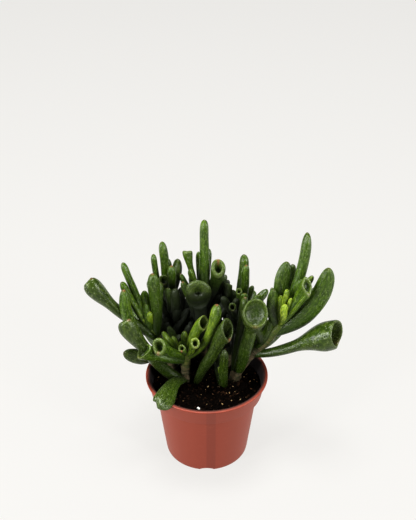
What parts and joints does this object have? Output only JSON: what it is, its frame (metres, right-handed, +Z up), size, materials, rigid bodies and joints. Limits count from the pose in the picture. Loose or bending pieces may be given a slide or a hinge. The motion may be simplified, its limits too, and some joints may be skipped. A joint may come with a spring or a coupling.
{
  "type": "potted trumpet jade",
  "caption": "Small succulent with clustered tubular, trumpet-ended leaves, standing in dark soil in a tapered plastic nursery pot with a banded rim.",
  "frame": {"origin": "centre of the circle that the pot stands on, at the surface", "axes": "+Z up; -Y towards the side seen in the picture; +X to the right in that view"},
  "size_m": [0.1798, 0.1075, 0.181],
  "materials": {
    "pot_plastic": "satin",
    "potting_soil": "matte",
    "leaf": "satin"
  },
  "bodies": {
    "root": {"pot": "pot_plastic", "soil": "potting_soil", "front_left_shoot": "leaf", "left_shoot": "leaf", "back_left_shoot": "leaf", "centre_shoot": "leaf", "back_right_shoot": "leaf", "right_shoot": "leaf", "small_sprout": "leaf"}
  },
  "joints": []
}
